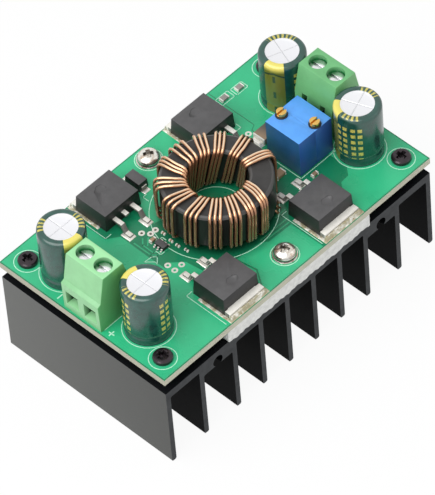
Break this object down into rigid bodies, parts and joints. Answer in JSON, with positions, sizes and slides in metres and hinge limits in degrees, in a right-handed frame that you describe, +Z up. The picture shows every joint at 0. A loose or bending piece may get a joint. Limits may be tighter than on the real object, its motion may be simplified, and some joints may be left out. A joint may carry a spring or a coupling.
{
  "type": "buck-boost converter module",
  "caption": "Power converter board over a black finned heatsink, with screw terminals at its ends, a wound toroid, upright capacitors and multi-turn trimmers.",
  "frame": {"origin": "plan centre of the board at the plane of the fin tips", "axes": "+X along the board from the input terminal to the output terminal, +Y across the board and along the fins, +Z up from the fins to the parts"},
  "size_m": [0.0782, 0.047, 0.041],
  "materials": {
    "black_anodised": "satin black anodised",
    "pad_white": "matte",
    "board_green": "solder mask",
    "black_steel": "black oxide",
    "spacer_plastic": "moulded",
    "nickel": "bright nickel",
    "can_aluminium": "drawn bright",
    "sleeve_teal": "shrink film",
    "seal_rubber": "matte",
    "foil_roll": "wound foil and paper",
    "tinned": "tin plated",
    "terminal_green": "moulded",
    "plated_steel": "zinc plated",
    "trimmer_blue": "moulded",
    "potting_blue": "epoxy",
    "brass": "machined",
    "collar_black": "moulded",
    "element_ceramic": "glazed strip",
    "package_black": "moulded epoxy",
    "core_black": "epoxy coated powder core",
    "copper": "enamelled copper",
    "chip_ceramic": "fired"
  },
  "bodies": {
    "module": {"heatsink": "black_anodised", "thermal_pad": "pad_white", "circuit_board": "board_green", "corner_screws": "black_steel", "spacer_rings": "spacer_plastic", "middle_screws": "nickel", "capacitor_1_can": "can_aluminium", "capacitor_1_sleeve": "sleeve_teal", "capacitor_2_can": "can_aluminium", "capacitor_2_sleeve": "sleeve_teal", "capacitor_3_can": "can_aluminium", "capacitor_3_sleeve": "sleeve_teal", "capacitor_4_can": "can_aluminium", "capacitor_4_sleeve": "sleeve_teal", "capacitor_seals": "seal_rubber", "capacitor_rolls": "foil_roll", "capacitor_leads": "tinned", "input_terminal_housing": "terminal_green", "input_terminal_contacts": "tinned", "output_terminal_housing": "terminal_green", "output_terminal_contacts": "tinned", "trimmer_1_body": "trimmer_blue", "trimmer_1_base": "potting_blue", "trimmer_1_element": "element_ceramic", "trimmer_2_body": "trimmer_blue", "trimmer_2_base": "potting_blue", "trimmer_2_element": "element_ceramic", "trimmer_collars": "collar_black", "trimmer_pins": "tinned", "transistor_1_body": "package_black", "transistor_1_metal": "tinned", "transistor_2_body": "package_black", "transistor_2_metal": "tinned", "transistor_3_body": "package_black", "transistor_3_metal": "tinned", "transistor_4_body": "package_black", "transistor_4_metal": "tinned", "diode_body": "package_black", "diode_leads": "tinned", "inductor_core": "core_black", "inductor_winding": "copper", "chip_bodies": "chip_ceramic", "chip_ends": "tinned", "driver_body": "package_black", "driver_pins": "tinned", "controller_body": "package_black", "controller_pins": "tinned"},
    "input_screw_1": {"input_screw_1": "plated_steel"},
    "input_screw_2": {"input_screw_2": "plated_steel"},
    "input_cage_1": {"input_cage_1": "plated_steel"},
    "input_cage_2": {"input_cage_2": "plated_steel"},
    "output_screw_1": {"output_screw_1": "plated_steel"},
    "output_screw_2": {"output_screw_2": "plated_steel"},
    "output_cage_1": {"output_cage_1": "plated_steel"},
    "output_cage_2": {"output_cage_2": "plated_steel"},
    "trimmer_1_screw": {"trimmer_1_screw": "brass"},
    "trimmer_1_wiper": {"trimmer_1_wiper": "brass"},
    "trimmer_2_screw": {"trimmer_2_screw": "brass"},
    "trimmer_2_wiper": {"trimmer_2_wiper": "brass"}
  },
  "joints": [
    {"name": "input_screw_1_turn", "type": "hinge", "parent": "module", "child": "input_screw_1", "pos_m": [-0.03375, -0.00254, 0.0397], "axis": [0, 0, 1], "range_deg": [-1800, 0]},
    {"name": "input_cage_1_rise", "type": "slide", "parent": "module", "child": "input_cage_1", "axis": [0, 0, 1], "range_m": [0, 0.0025]},
    {"name": "input_screw_2_turn", "type": "hinge", "parent": "module", "child": "input_screw_2", "pos_m": [-0.03375, 0.00254, 0.0397], "axis": [0, 0, 1], "range_deg": [-1800, 0]},
    {"name": "input_cage_2_rise", "type": "slide", "parent": "module", "child": "input_cage_2", "axis": [0, 0, 1], "range_m": [0, 0.0025]},
    {"name": "output_screw_1_turn", "type": "hinge", "parent": "module", "child": "output_screw_1", "pos_m": [0.0341, -0.00254, 0.0397], "axis": [0, 0, 1], "range_deg": [-1800, 0]},
    {"name": "output_cage_1_rise", "type": "slide", "parent": "module", "child": "output_cage_1", "axis": [0, 0, 1], "range_m": [0, 0.0025]},
    {"name": "output_screw_2_turn", "type": "hinge", "parent": "module", "child": "output_screw_2", "pos_m": [0.0341, 0.00254, 0.0397], "axis": [0, 0, 1], "range_deg": [-1800, 0]},
    {"name": "output_cage_2_rise", "type": "slide", "parent": "module", "child": "output_cage_2", "axis": [0, 0, 1], "range_m": [0, 0.0025]},
    {"name": "trimmer_1_screw_turn", "type": "hinge", "parent": "module", "child": "trimmer_1_screw", "pos_m": [0.02155, 0.00121, 0.0368], "axis": [0, 0, 1], "range_deg": [-4500, 4500]},
    {"name": "trimmer_1_wiper_travel", "type": "slide", "parent": "module", "child": "trimmer_1_wiper", "axis": [0, 0, 1], "range_m": [-0.0025, 0.0025]},
    {"name": "trimmer_2_screw_turn", "type": "hinge", "parent": "module", "child": "trimmer_2_screw", "pos_m": [0.02415, -0.00571, 0.0368], "axis": [0, 0, 1], "range_deg": [-4500, 4500]},
    {"name": "trimmer_2_wiper_travel", "type": "slide", "parent": "module", "child": "trimmer_2_wiper", "axis": [0, 0, 1], "range_m": [-0.0025, 0.0025]}
  ],
  "couplings": [
    {"joint": "input_screw_1_turn", "follows": "input_cage_1_rise", "rad_per_m": -12566},
    {"joint": "input_screw_2_turn", "follows": "input_cage_2_rise", "rad_per_m": -12566},
    {"joint": "output_screw_1_turn", "follows": "output_cage_1_rise", "rad_per_m": -12566},
    {"joint": "output_screw_2_turn", "follows": "output_cage_2_rise", "rad_per_m": -12566},
    {"joint": "trimmer_1_screw_turn", "follows": "trimmer_1_wiper_travel", "rad_per_m": -31416},
    {"joint": "trimmer_2_screw_turn", "follows": "trimmer_2_wiper_travel", "rad_per_m": -31416}
  ]
}
